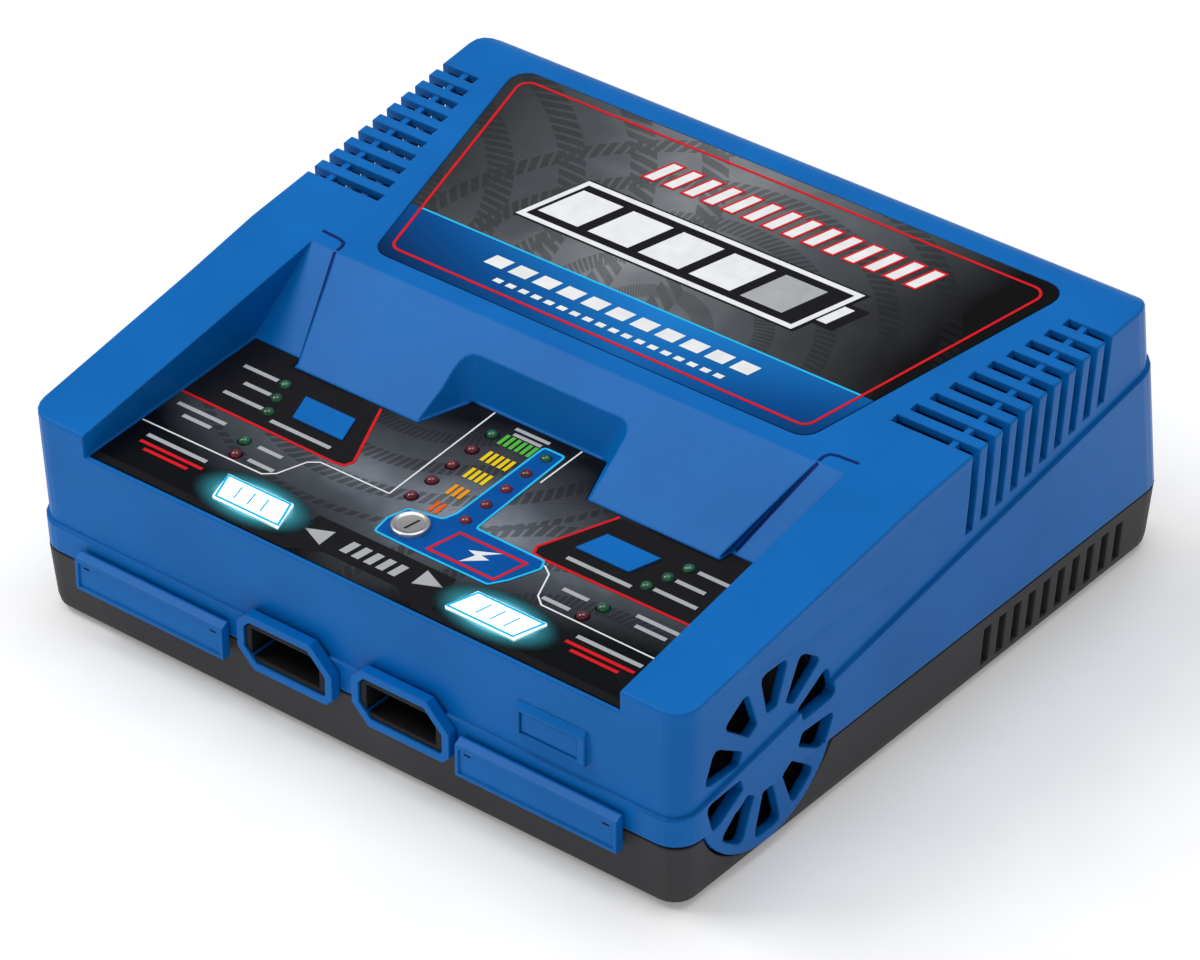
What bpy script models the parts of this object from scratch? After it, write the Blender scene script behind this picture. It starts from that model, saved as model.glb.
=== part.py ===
"""Dual balance battery charger: a blue housing on a grey tray, with its ports, keys, lamps, fan and boards.

Frame: +Z up, +X to the charger's right, the operator stands at -Y. The origin is on the standing surface,
under the middle of the bounding box. Sizes are in millimetres, and MM turns them into metres.
"""
import math

import bmesh
import bpy
from mathutils import Matrix, Vector

MM = 0.001
GAP = 0.3
WALL = 2.2

# Heights of the two mouldings
FOOT_HEIGHT = 1.2
PARTING_Z = 19.2
SEAM = 0.7
TOP_Z = 92.0

# Plan outline of the housing wall: half width at the front and at the back, and the two wall positions
CORNER_RADIUS = 6.3
REAR_CORNER_RADIUS = 8.6
SKIRT_STEP = 0.9
WALL_LOW = {"z": 19.2, "front": 98.9, "back": 100.4, "y_front": -95.8, "y_back": 99.3}
WALL_HIGH = {"z": 80.0, "front": 101.2, "back": 104.6, "y_front": -97.2, "y_back": 84.7}
TOP_BACK_RADIUS = 8.0
TOP_EDGE_RADIUS = 2.4
TRAY_HALF_WIDTH = 99.6
TRAY_BACK_HALF_WIDTH = 101.1
TRAY_Y = (-96.5, 100.0)
TRAY_FLOOR = 3.0
TRAY_PROFILE = ((-2.9, 1.2), (-1.5, 2.2), (-1.05, 4.4), (0.0, PARTING_Z - SEAM / 2))

# Sloped deck: two planes that meet at the kink behind the control recess
DECK_FRONT = (-97.4, 57.5)
DECK_KINK = (-12.0, 71.7)
DECK_BACK = (84.7, 81.5)
DECK_TILT = math.atan2(DECK_BACK[1] - DECK_KINK[1], DECK_BACK[0] - DECK_KINK[0])

# Ledge where the upper wall steps in from the skirt: it climbs from front to back
LEDGE_FRONT = (-97.4, 27.0)
LEDGE_BACK = (100.0, 62.5)

# Control recess and its panel plane
PANEL_ORIGIN = (-65.0, 53.15)
PANEL_TILT = math.atan(0.0511)
RECESS_HALF_WIDTH = 82.1
OVERLAY_THICKNESS = 0.5
OVERLAY_HALF_WIDTH = 81.4
OVERLAY_FRONT_Y = -95.2
BROW_FOOT_Y = -34.4
BROW_HEAD = (-12.1, 71.72)
PAD_FOOT = (-37.9, 54.7)
PAD_HEAD = (-12.2, 71.71)
PAD_HALF_WIDTHS = (65.3, 74.0)
NOTCH_FLOOR_LIFT = 0.05
NOTCH_FLOOR = {"z": None, "back": (21.4, -23.4), "front": (27.3, -40.0)}
NOTCH_TOP = {"z": 73.6, "back": (28.8, -18.2), "front": (34.6, -40.0)}

# Deck vents
VENT_COUNT = 10
VENT_FIRST_Y = 11.1
VENT_PITCH = 5.83
VENT_WIDTH = 2.9
VENT_INNER_X = (79.2, 91.8)
VENT_ABOVE_LEDGE = 4.2
VENT_RIB_X = (95.4, 97.2)

# Tray vents
TRAY_VENT_FIRST_Y = 23.6
TRAY_VENT_PITCH = 6.2
TRAY_VENT_WIDTH = 3.0
TRAY_VENT_Z = (4.4, 15.6)

# Fan and its grille on the right wall
FAN_Y = -63.8
FAN_Z = 30.4
FAN_FRAME = 50.0
FAN_X = (84.7, 94.7)
GRILLE_RADII = (11.6, 24.3)
GRILLE_HALF_ANGLES = (9.5, 12.5)
GRILLE_DISC_RADIUS = 26.4
GRILLE_LOBE_FACE_X = 99.7
GRILLE_WEDGES = 10

# Front of the charger
BEZEL_CENTRES = (-16.5, 19.3)
BEZEL_HALF = (14.8, 7.7)
BEZEL_Z = 23.5
BEZEL_RIM = 2.1
BEZEL_SOFTENING = 0.45
BEZEL_CUTS = (5.0, 2.0, 6.6, 3.0)
SOCKET_FACE_Y = -99.5
SOCKET_ROOM_HALF = (10.6, 4.0)
FRONT_FACE_Y = -100.0
COVER_X = (36.1, 83.9)
COVER_Z = (14.3, 24.3)
COVER_TOP_SLOPE = 1.2
COVER_THICKNESS = 2.3
COVER_HINGE = (-98.7, 15.6)
HOOD_X = (52.2, 72.4)
HOOD_Z = (32.0, 41.6)
HOOD_FACE_Y = -97.4
HOOD_ROOM_X = (HOOD_X[0] + 1.0, HOOD_X[1] - 2.2)
HOOD_ROOM_Z = (HOOD_Z[0] + 0.9, HOOD_Z[1] - 2.6)
HOOD_ROOM_Y = -95.5
SERVICE_OPENING_X = (55.0, 68.4)
SERVICE_OPENING_Z = (33.1, 38.9)
SERVICE_SHELL = 0.75

# Mains inlet in the rear wall
INLET_X = (44.0, 66.0)
INLET_Z = (26.0, 42.0)
INLET_FACE_Y = 90.0
INLET_BORDER = 2.5

# Power board on the tray's stands
BOARD_Z = 9.0
BOARD_THICKNESS = 1.6
BOARD_STANDS = ((-66.0, -62.0), (66.0, -62.0), (-66.0, 74.0), (66.0, 74.0))

# Keys and lamps, as positions along and across the panel
LAMP_DIAMETER = 3.2
STATUS_LAMP_X = 8.35
STATUS_LAMP_FIRST_Y = -31.8
STATUS_LAMP_PITCH = 7.54
MODE_LAMPS = ((62.3, -45.7), (60.35, -51.2), (58.3, -56.7), (55.2, -68.9), (53.3, -74.1))
MODE_KEY = {"back_y": -46.6, "front_y": -55.0, "inner": 38.9, "outer": 54.8, "shift": 2.95}
START_KEY = {"back_y": -81.6, "front_y": -90.4, "inner": 28.4, "outer": 48.9, "shift": 2.7}
ROUND_KEY = (-0.8, -71.3, 4.9)

# Screws and feet
FRONT_POST = (76.0, -78.0)
REAR_POST = (86.0, 73.0)
FOOT_AT = (84.0, 58.0)
FOOT_RADIUS = 5.5

BLUE = (0.0, 0.105, 0.40)
DARK_GREY = (0.07, 0.07, 0.08)
BLACK = (0.012, 0.012, 0.014)


def clear_scene():
    for obj in list(bpy.data.objects):
        bpy.data.objects.remove(obj, do_unlink=True)


def material(name, colour, roughness=0.45, metallic=0.0):
    made = bpy.data.materials.new(name)
    made.use_nodes = True
    shader = made.node_tree.nodes["Principled BSDF"]
    shader.inputs["Base Color"].default_value = (*colour, 1.0)
    shader.inputs["Roughness"].default_value = roughness
    shader.inputs["Metallic"].default_value = metallic
    return made


def add_object(name, mesh, mat=None, parent=None):
    obj = bpy.data.objects.new(name, mesh)
    bpy.context.scene.collection.objects.link(obj)
    if mat:
        mesh.materials.append(mat)
    if parent:
        obj.parent = parent
    return obj


def loft(name, rings, mat=None, parent=None, smooth=False):
    """A closed solid through rings of equally many points; each ring runs counter-clockwise seen from
    the last ring's side. Points are in millimetres."""
    bm = bmesh.new()
    rows = [[bm.verts.new(Vector(point) * MM) for point in ring] for ring in rings]
    count = len(rows[0])
    for low, high in zip(rows, rows[1:]):
        for index in range(count):
            after = (index + 1) % count
            bm.faces.new((low[index], low[after], high[after], high[index]))
    bm.faces.new(list(reversed(rows[0])))
    bm.faces.new(rows[-1])
    bmesh.ops.recalc_face_normals(bm, faces=bm.faces)
    mesh = bpy.data.meshes.new(name)
    bm.to_mesh(mesh)
    bm.free()
    if smooth:
        mesh.shade_smooth()
        mesh.set_sharp_from_angle(angle=math.radians(35))
    return add_object(name, mesh, mat, parent)


def prism(name, outline, axis, start, end, mat=None, parent=None, smooth=False):
    """An outline in the plane across `axis`, pushed from start to end along it."""
    def place(point, along):
        a, b = point
        return {"x": (along, a, b), "y": (a, along, b), "z": (a, b, along)}[axis]
    rings = [[place(point, along) for point in outline] for along in (start, end)]
    return loft(name, rings, mat, parent, smooth)


def box(name, low, high, mat=None, parent=None):
    outline = ((low[0], low[1]), (high[0], low[1]), (high[0], high[1]), (low[0], high[1]))
    return prism(name, outline, "z", low[2], high[2], mat, parent)


def circle(centre, radius, count=24, start=0.0):
    return [(centre[0] + radius * math.cos(start + 2 * math.pi * i / count),
             centre[1] + radius * math.sin(start + 2 * math.pi * i / count)) for i in range(count)]


def rounded_polygon(corners, radii, steps=5):
    """A polygon whose corners are arcs of the given radii."""
    points = []
    count = len(corners)
    for index, corner in enumerate(corners):
        here = Vector(corner)
        before = (Vector(corners[index - 1]) - here).normalized()
        after = (Vector(corners[(index + 1) % count]) - here).normalized()
        radius = radii[index] if hasattr(radii, "__len__") else radii
        half = before.angle(after) / 2
        if radius <= 0:
            points.append(tuple(here))
            continue
        centre = here + (before + after).normalized() * (radius / math.sin(half))
        first = here + before * (radius / math.tan(half)) - centre
        last = here + after * (radius / math.tan(half)) - centre
        turn = first.angle_signed(last)
        for step in range(steps + 1):
            angle = -turn * step / steps
            points.append((centre.x + first.x * math.cos(angle) - first.y * math.sin(angle),
                           centre.y + first.x * math.sin(angle) + first.y * math.cos(angle)))
    return points


def rounded_box_outline(x_range, z_range, radius, steps=4):
    (x0, x1), (z0, z1) = x_range, z_range
    return rounded_polygon([(x0, z0), (x1, z0), (x1, z1), (x0, z1)], radius, steps)


def as_cutter(obj):
    obj.hide_render = True
    obj.display_type = "WIRE"
    return obj


def boolean(obj, other, operation):
    modifier = obj.modifiers.new(operation.title(), "BOOLEAN")
    modifier.object = as_cutter(other)
    modifier.operation = operation
    modifier.solver = "EXACT"
    return obj


def cut(obj, *cutters):
    for cutter in cutters:
        boolean(obj, cutter, "DIFFERENCE")
    return obj


def unite(obj, *others):
    for other in others:
        boolean(obj, other, "UNION")
    return obj


def frame(name, location, tilt):
    """An empty whose X stays level and whose Y climbs at `tilt`."""
    empty = bpy.data.objects.new(name, None)
    bpy.context.scene.collection.objects.link(empty)
    empty.location = Vector(location) * MM
    empty.rotation_euler = (tilt, 0.0, 0.0)
    empty.hide_render = True
    return empty


def wall_ring(z, out=0.0):
    """The housing wall's plan outline at a height, `out` outside the upper wall."""
    share = (z - WALL_LOW["z"]) / (WALL_HIGH["z"] - WALL_LOW["z"])
    front, back, y_front, y_back = (WALL_LOW[key] + share * (WALL_HIGH[key] - WALL_LOW[key])
                                    for key in ("front", "back", "y_front", "y_back"))
    corners = [(-front - out, y_front - out), (front + out, y_front - out),
               (back + out, y_back + out), (-back - out, y_back + out)]
    radii = [CORNER_RADIUS + out] * 2 + [REAR_CORNER_RADIUS + out] * 2
    return [(x, y, z) for x, y in rounded_polygon(corners, radii)]


def line_z(first, last, y):
    return first[1] + (last[1] - first[1]) * (y - first[0]) / (last[0] - first[0])


def panel_z(y):
    return PANEL_ORIGIN[1] + math.tan(PANEL_TILT) * (y - PANEL_ORIGIN[0])


def deck_z(y):
    if y < DECK_KINK[0]:
        return line_z(DECK_FRONT, DECK_KINK, y)
    return line_z(DECK_KINK, DECK_BACK, y)


def ledge_z(y):
    return line_z(LEDGE_FRONT, LEDGE_BACK, y)


def under_deck(name, drop, low):
    """The space below the deck lowered by `drop`, as a prism across the full width."""
    def back_y(z):
        rise = (z - WALL_LOW["z"]) / (WALL_HIGH["z"] - WALL_LOW["z"])
        return WALL_LOW["y_back"] + rise * (WALL_HIGH["y_back"] - WALL_LOW["y_back"]) + SEAM - drop
    edge_z = DECK_BACK[1] - drop
    corners = [(-120, low), (back_y(low), low), (back_y(edge_z), edge_z),
               (DECK_KINK[0], DECK_KINK[1] - drop), (-120, deck_z(-120) - drop)]
    return prism(name, rounded_polygon(corners, (0, 0, TOP_BACK_RADIUS - drop / 2, 0, 0), 6), "x", -120, 120)


def housing_body(name, inset, low, mat=None):
    """Upper wall under the deck, shrunk by `inset`, from a low height up."""
    body = loft(name, [wall_ring(low, -inset), wall_ring(TOP_Z, -inset)], mat)
    return boolean(body, under_deck(name + "_deck", inset, low - 5), "INTERSECT")


def recess_space(name, grow):
    """The room of the control recess, with `grow` more on every side."""
    floor = grow
    rise = (BROW_HEAD[1] - panel_z(BROW_FOOT_Y)) / (BROW_HEAD[0] - BROW_FOOT_Y)
    shift = grow * math.sqrt(1 + rise * rise) / rise
    head = BROW_HEAD[0] + 30 + shift
    outline = [(-125, panel_z(-125) - floor), (BROW_FOOT_Y + shift, panel_z(BROW_FOOT_Y + shift) - floor),
               (head, BROW_HEAD[1] + 30 * rise), (head, 130), (-125, 130)]
    half = RECESS_HALF_WIDTH + grow
    return prism(name, outline, "x", -half, half)


def brow_pad(name):
    """The raised middle of the brow, between the recess floor and the deck."""
    foot_half, head_half = PAD_HALF_WIDTHS
    slope = (PAD_HEAD[1] - PAD_FOOT[1]) / (PAD_HEAD[0] - PAD_FOOT[0])
    reach = 12.0
    top_y = PAD_HEAD[0] + reach
    top_z = PAD_HEAD[1] + reach * slope
    spread = (head_half - foot_half) / (PAD_HEAD[0] - PAD_FOOT[0]) * reach
    low_y = PAD_FOOT[0] - 6.0
    low_z = PAD_FOOT[1] - 6.0 * slope
    low = [(-foot_half + 2, low_y, low_z), (foot_half - 2, low_y, low_z),
           (foot_half - 2, low_y + 26, low_z), (-foot_half + 2, low_y + 26, low_z)]
    high = [(-head_half - spread, top_y, top_z), (head_half + spread, top_y, top_z),
            (head_half + spread, top_y + 26, top_z), (-head_half - spread, top_y + 26, top_z)]
    return loft(name, [low, high])


def notch_space(name, grow):
    """The rounded notch in the brow pad, over the status lamps. Its floor lies in the panel plane."""
    def ring(level, z, extra):
        back_x, back_y = level["back"]
        front_x, front_y = level["front"]
        corners = [(-front_x - extra, front_y), (front_x + extra, front_y),
                   (back_x + extra, back_y + extra), (-back_x - extra, back_y + extra)]
        outline = rounded_polygon(corners, (0, 0, 5.0, 5.0), 4)
        return [(x, y, panel_z(y) + NOTCH_FLOOR_LIFT - extra if z is None else z) for x, y in outline]
    return loft(name, [ring(level, level["z"], grow) for level in (NOTCH_FLOOR, NOTCH_TOP)])


def vent_cutters(name, side):
    """Ten slots that run across the deck's edge and down the wall, with one low rib along the row."""
    made = None
    for index in range(VENT_COUNT):
        y = VENT_FIRST_Y + index * VENT_PITCH
        inner = VENT_INNER_X[0] + (VENT_INNER_X[1] - VENT_INNER_X[0]) * index / (VENT_COUNT - 1)
        x_range = sorted((side * inner, side * 115.0))
        bottom = ledge_z(y) + VENT_ABOVE_LEDGE
        slot = box(f"{name}_{index}", (x_range[0], y - VENT_WIDTH / 2, bottom),
                   (x_range[1], y + VENT_WIDTH / 2, 95.0))
        made = slot if made is None else unite(made, slot)
    rib_x = sorted(side * x for x in VENT_RIB_X)
    rib = [(-5, deck_z(-5) - 6), (80, deck_z(80) - 6), (80, deck_z(80) - 0.7), (-5, deck_z(-5) - 0.7)]
    return cut(made, prism(name + "_rib", rib, "x", rib_x[0], rib_x[1]))


def grille_cutters(name):
    """Ten wedge openings around the fan's axis."""
    made = None
    inner, outer = GRILLE_RADII
    for index in range(GRILLE_WEDGES):
        middle = 2 * math.pi * (index + 0.5) / GRILLE_WEDGES
        inner_half, outer_half = (math.radians(angle) for angle in GRILLE_HALF_ANGLES)
        corners = ((inner, -inner_half), (outer, -outer_half), (outer, outer_half), (inner, inner_half))
        outline = rounded_polygon([(FAN_Y + r * math.cos(middle + a), FAN_Z + r * math.sin(middle + a))
                                   for r, a in corners], (0.8, 1.6, 1.6, 0.8), 2)
        wedge = prism(f"{name}_{index}", outline, "x", 90.0, 112.0)
        made = wedge if made is None else unite(made, wedge)
    return made


def bezel_outline(centre, half, z, inset=0.0):
    """A box outline whose four corners are cut off by different amounts, with the cuts' ends rounded.
    The outline lies `inset` inside the given half sizes, with every side and cut moved in equally."""
    half_x, half_z = half[0] - inset, half[1] - inset
    corners = []
    for (side_x, side_z), size in zip(((-1, -1), (1, -1), (1, 1), (-1, 1)), BEZEL_CUTS):
        size -= (2 - math.sqrt(2)) * inset
        along_x = (centre + side_x * (half_x - size), z + side_z * half_z)
        along_z = (centre + side_x * half_x, z + side_z * (half_z - size))
        corners += [along_z, along_x] if side_x * side_z > 0 else [along_x, along_z]
    return rounded_polygon(corners, BEZEL_SOFTENING, 2)


def key_outline(key, side, out=0.0):
    """A leaning rectangle whose front edge is shifted towards the middle."""
    inner, outer = key["inner"] - out, key["outer"] + out
    back, front, shift = key["back_y"] + out, key["front_y"] - out, key["shift"]
    corners = [(inner - shift, front), (outer - shift, front), (outer, back), (inner, back)]
    if side < 0:
        corners = [(-x, y) for x, y in reversed(corners)]
    return [(x, y - PANEL_ORIGIN[0]) for x, y in corners]


def lamp_places():
    """Every lamp's name and its place on the panel."""
    places = []
    for side, word in ((-1, "left"), (1, "right")):
        for index in range(5):
            y = STATUS_LAMP_FIRST_Y - index * STATUS_LAMP_PITCH
            places.append((f"status_lamp_{word}_{index + 1}", side * STATUS_LAMP_X, y))
        for index, (x, y) in enumerate(MODE_LAMPS):
            kind = "mode" if index < 3 else "cell"
            number = index + 1 if index < 3 else index - 2
            places.append((f"{kind}_lamp_{word}_{number}", side * x, y))
    return places


def panel_holes(name, panel, depth, clearance):
    """Holes through the panel for every key and lamp, `clearance` wider than each piece."""
    made = None
    outlines = []
    for side in (-1, 1):
        outlines.append(key_outline(MODE_KEY, side, clearance))
        outlines.append(key_outline(START_KEY, side, clearance))
    x, y, radius = ROUND_KEY
    outlines.append(circle((x, y - PANEL_ORIGIN[0]), radius + clearance, 24))
    for _, x, y in lamp_places():
        outlines.append(circle((x, y - PANEL_ORIGIN[0]), LAMP_DIAMETER / 2 + clearance, 12))
    for index, outline in enumerate(outlines):
        hole = prism(f"{name}_{index}", outline, "z", depth[0], depth[1], parent=panel)
        made = hole if made is None else unite(made, hole)
    return made


def screw_posts():
    return [(side * x, y) for x, y in (FRONT_POST, REAR_POST) for side in (-1, 1)]


def make_upper_housing(mat, panel):
    skirt = loft("skirt", [wall_ring(PARTING_Z + SEAM / 2, SKIRT_STEP), wall_ring(TOP_Z, SKIRT_STEP)])
    below_ledge = prism("below_ledge", [(-120, 5), (120, 5), (120, ledge_z(120)), (-120, ledge_z(-120))],
                        "x", -120, 120)
    boolean(skirt, below_ledge, "INTERSECT")
    housing = housing_body("upper_housing", 0.0, PARTING_Z - 8.0, mat)
    rounding = housing.modifiers.new("Top edges", "BEVEL")
    rounding.width = TOP_EDGE_RADIUS * MM
    rounding.segments = 3
    rounding.limit_method = "ANGLE"
    rounding.angle_limit = math.radians(40)
    cut(housing, box("below_seam", (-130, -130, 0), (130, 130, PARTING_Z + SEAM / 2)))
    unite(housing, skirt)

    recess = recess_space("recess", 0.0)
    cut(recess, brow_pad("brow_pad"))
    unite(recess, notch_space("notch", 0.0))

    cavity = housing_body("cavity", WALL, PARTING_Z - 6)
    cut(cavity, recess_space("recess_wall", WALL), notch_space("notch_wall", WALL))

    cut(housing, recess, cavity)
    unite(housing, grille_lobe("grille_lobe"), inlet_boss("inlet_boss"), port_hood("port_hood"))
    for index, (x, y) in enumerate(screw_posts()):
        ceiling = panel_z(y) - 1.6 if y < -40 else deck_z(y) - 1.6
        post = prism(f"post_{index}", circle((x, y), 3.6, 12), "z", 7.5, ceiling)
        unite(housing, post)
        cut(housing, prism(f"post_bore_{index}", circle((x, y), 1.75, 12), "z", 6.0, 20.0))

    cut(housing, vent_cutters("vents_left", -1), vent_cutters("vents_right", 1), grille_cutters("grille"))
    cut(housing, panel_holes("housing_holes", panel, (-14.0, 4.0), GAP + 0.3))
    cut(housing, *front_openings("housing_front"))
    cut(housing, label_pocket("label_pocket"), overlay_pocket("overlay_pocket", panel))
    cut(housing, box("inlet_opening", (INLET_X[0] - GAP, 70, INLET_Z[0] - GAP),
                     (INLET_X[1] + GAP, 120, INLET_Z[1] + GAP)))
    cut(housing, box("inlet_recess", (INLET_X[0] - INLET_BORDER, INLET_FACE_Y, INLET_Z[0] - INLET_BORDER),
                     (INLET_X[1] + INLET_BORDER, 120, INLET_Z[1] + INLET_BORDER)))
    return housing


def inlet_boss(name):
    """A thick patch behind the raked rear wall that holds the mains inlet."""
    body = box(name, (INLET_X[0] - 4.5, INLET_FACE_Y - 4.0, INLET_Z[0] - 4.5),
               (INLET_X[1] + 4.5, 101.0, INLET_Z[1] + 4.5))
    inside = loft(name + "_inside", [wall_ring(PARTING_Z - 2, -0.4), wall_ring(TOP_Z, -0.4)])
    return boolean(body, inside, "INTERSECT")


def grille_lobe(name):
    """The part of the grille disc that hangs below the seam, over the tray's wall."""
    disc = prism(name, circle((FAN_Y, FAN_Z), GRILLE_DISC_RADIUS, 48), "x", 97.2, GRILLE_LOBE_FACE_X)
    keep = box(name + "_keep", (90, -100, -10), (110, -20, PARTING_Z + 2.0))
    return boolean(disc, keep, "INTERSECT")


def port_hood(name):
    """A frame round the service port, with a sloped top."""
    low, high = HOOD_Z
    profile = [(-95.5, low), (-95.5, high), (-96.5, high), (HOOD_FACE_Y, high - 1.7), (HOOD_FACE_Y, low)]
    return prism(name, profile, "x", *HOOD_X)


def front_openings(name):
    """Openings in the front wall for the battery ports, the balance sockets and the service port."""
    openings = []
    for index, centre in enumerate(BEZEL_CENTRES):
        outline = bezel_outline(centre, BEZEL_HALF, BEZEL_Z, 1.0)
        openings.append(prism(f"{name}_port_{index}", outline, "y", -110, -88))
    for side in (-1, 1):
        x_range = sorted((side * 44.0, side * 76.0))
        openings.append(box(f"{name}_balance_{side}", (x_range[0], -110, 15.6), (x_range[1], -88, 22.6)))
    openings.append(box(name + "_service", (SERVICE_OPENING_X[0], -110, SERVICE_OPENING_Z[0]),
                        (SERVICE_OPENING_X[1], -88, SERVICE_OPENING_Z[1])))
    openings.append(box(name + "_service_recess", (HOOD_ROOM_X[0], -110, HOOD_ROOM_Z[0]),
                        (HOOD_ROOM_X[1], HOOD_ROOM_Y, HOOD_ROOM_Z[1])))
    return openings


def label_outline(inset=0.0):
    """Trapezoid on the deck plane, with rounded corners; y is measured along the slope from the kink."""
    slope = math.cos(DECK_TILT)
    front = (-6.7 - DECK_KINK[0]) / slope + inset
    back = (74.1 - DECK_KINK[0]) / slope - inset
    corners = [(-66.6 + inset, front), (66.6 - inset, front), (86.2 - inset, back), (-86.2 + inset, back)]
    return rounded_polygon(corners, 5.0 - inset)


def deck_frame():
    return frame("deck_frame", (0, DECK_KINK[0], DECK_KINK[1]), DECK_TILT)


def label_pocket(name):
    return prism(name, label_outline(-GAP), "z", -0.7, 3.0, parent=deck_frame())


def make_top_label(mat):
    return prism("top_label", label_outline(), "z", -0.4, 0.0, mat, deck_frame())


def overlay_outline(grow=0.0):
    """The film fills the recess floor, round the foot of the brow pad and into its notch."""
    half = OVERLAY_HALF_WIDTH + grow
    brow = BROW_FOOT_Y - 0.7 + grow
    pad = PAD_FOOT[0] - 0.8 + grow
    right = [(half, OVERLAY_FRONT_Y - grow), (half, brow), (66.4 - grow, brow), (66.0 - grow, pad),
             (26.0 + grow, pad), (20.6 + grow, NOTCH_FLOOR["back"][1] - 0.8 + grow)]
    outline = right + [(-x, y) for x, y in reversed(right)]
    return [(x, y - PANEL_ORIGIN[0]) for x, y in outline]


def overlay_pocket(name, panel):
    return prism(name, overlay_outline(GAP), "z", -OVERLAY_THICKNESS - GAP, 0.05, parent=panel)


def make_control_overlay(mat, panel):
    sheet = prism("control_overlay", overlay_outline(), "z", -OVERLAY_THICKNESS, 0.0, mat, panel)
    return cut(sheet, panel_holes("overlay_holes", panel, (-3.0, 3.0), GAP))


def make_lower_tray(mat):
    def outline(out, z, trim):
        front_half, back_half = TRAY_HALF_WIDTH + out, TRAY_BACK_HALF_WIDTH + out
        y_front, y_back = TRAY_Y[0] - out, TRAY_Y[1] + out
        corners = [(-front_half, y_front), (front_half, y_front), (back_half, y_back), (-back_half, y_back)]
        radii = [CORNER_RADIUS - trim] * 2 + [REAR_CORNER_RADIUS - trim] * 2
        return [(x, y, z) for x, y in rounded_polygon(corners, radii)]
    tray = loft("lower_tray", [outline(out, z, -0.4 * out) for out, z in TRAY_PROFILE], mat)
    inside = loft("tray_inside", [outline(-WALL - 1.2, FOOT_HEIGHT + TRAY_FLOOR, WALL + 1.0),
                                  outline(-WALL, PARTING_Z + 6, WALL)])
    cut(tray, inside)
    for index, (x, y) in enumerate(BOARD_STANDS):
        stand = prism(f"board_stand_{index}", circle((x, y), 3.0, 10), "z", FOOT_HEIGHT + 1.5, BOARD_Z - GAP)
        unite(tray, stand)
    for side in (-1, 1):
        slots = None
        for index in range(VENT_COUNT):
            y = TRAY_VENT_FIRST_Y + index * TRAY_VENT_PITCH
            x_range = sorted((side * 90.0, side * 110.0))
            slot = box(f"tray_vent_{side}_{index}", (x_range[0], y - TRAY_VENT_WIDTH / 2, TRAY_VENT_Z[0]),
                       (x_range[1], y + TRAY_VENT_WIDTH / 2, TRAY_VENT_Z[1]))
            slots = slot if slots is None else unite(slots, slot)
        cut(tray, slots)
    lobe_room = circle((FAN_Y, FAN_Z), GRILLE_DISC_RADIUS + SEAM, 48)
    cut(tray, prism("tray_lobe_room", lobe_room, "x", 95.6, 112.0))
    cut(tray, *front_openings("tray_front"))
    for index, (x, y) in enumerate(screw_posts()):
        cut(tray, prism(f"tray_screw_hole_{index}", circle((x, y), 1.9, 12), "z", -5, 10),
            prism(f"tray_screw_sink_{index}", circle((x, y), 3.3, 12), "z", -5, FOOT_HEIGHT + 2.2))
    for index, (x, y) in enumerate(foot_places()):
        seat = circle((x, y), FOOT_RADIUS + GAP, 16)
        cut(tray, prism(f"foot_seat_{index}", seat, "z", -5, FOOT_HEIGHT + 0.8))
    return tray


def foot_places():
    return [(sx * FOOT_AT[0], sy * FOOT_AT[1]) for sy in (-1, 1) for sx in (-1, 1)]


def make_keys(mats, panel):
    for side, word in ((-1, "left"), (1, "right")):
        prism(f"mode_key_{word}", key_outline(MODE_KEY, side), "z", -2.6, 0.5, mats["blue"], panel)
        prism(f"start_key_{word}", key_outline(START_KEY, side), "z", -2.6, 0.7, mats["lens"], panel)
    x, y, radius = ROUND_KEY
    prism("round_key", circle((x, y - PANEL_ORIGIN[0]), radius, 24), "z", -2.6, 1.3, mats["steel"], panel,
          smooth=True)


def make_lamps(mats, panel):
    """Each lamp is a short barrel with a round nose."""
    radius = LAMP_DIAMETER / 2
    for name, x, y in lamp_places():
        centre = (x, y - PANEL_ORIGIN[0])
        levels = [(radius, -2.6), (radius, 0.1), (radius * 0.8, 0.9), (radius * 0.35, 1.3)]
        rings = [[(px, py, z) for px, py in circle(centre, r, 12)] for r, z in levels]
        green = name.startswith("mode") or name.endswith("_1")
        loft(name, rings, mats["green_lamp" if green else "red_lamp"], panel, smooth=True)


def make_battery_ports(mats):
    for centre, word in zip(BEZEL_CENTRES, ("left", "right")):
        flange = bezel_outline(centre, BEZEL_HALF, BEZEL_Z)
        bezel = prism(f"battery_port_bezel_{word}", flange, "y", FRONT_FACE_Y, -97.1, mats["blue"])
        sleeve = bezel_outline(centre, BEZEL_HALF, BEZEL_Z, 1.4)
        unite(bezel, prism(f"sleeve_{word}", sleeve, "y", -99.0, -88.0))
        room = bezel_outline(centre, BEZEL_HALF, BEZEL_Z, BEZEL_RIM)
        cut(bezel, prism(f"port_room_{word}", room, "y", -110, -80))
        block = bezel_outline(centre, BEZEL_HALF, BEZEL_Z, BEZEL_RIM + GAP)
        socket = prism(f"battery_socket_{word}", block, "y", SOCKET_FACE_Y, -70.0, mats["black"])
        half_x, half_z = SOCKET_ROOM_HALF
        cut(socket, box(f"socket_bay_{word}", (centre - half_x, -101, BEZEL_Z - half_z),
                        (centre + half_x, -74, BEZEL_Z + half_z)))


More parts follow.
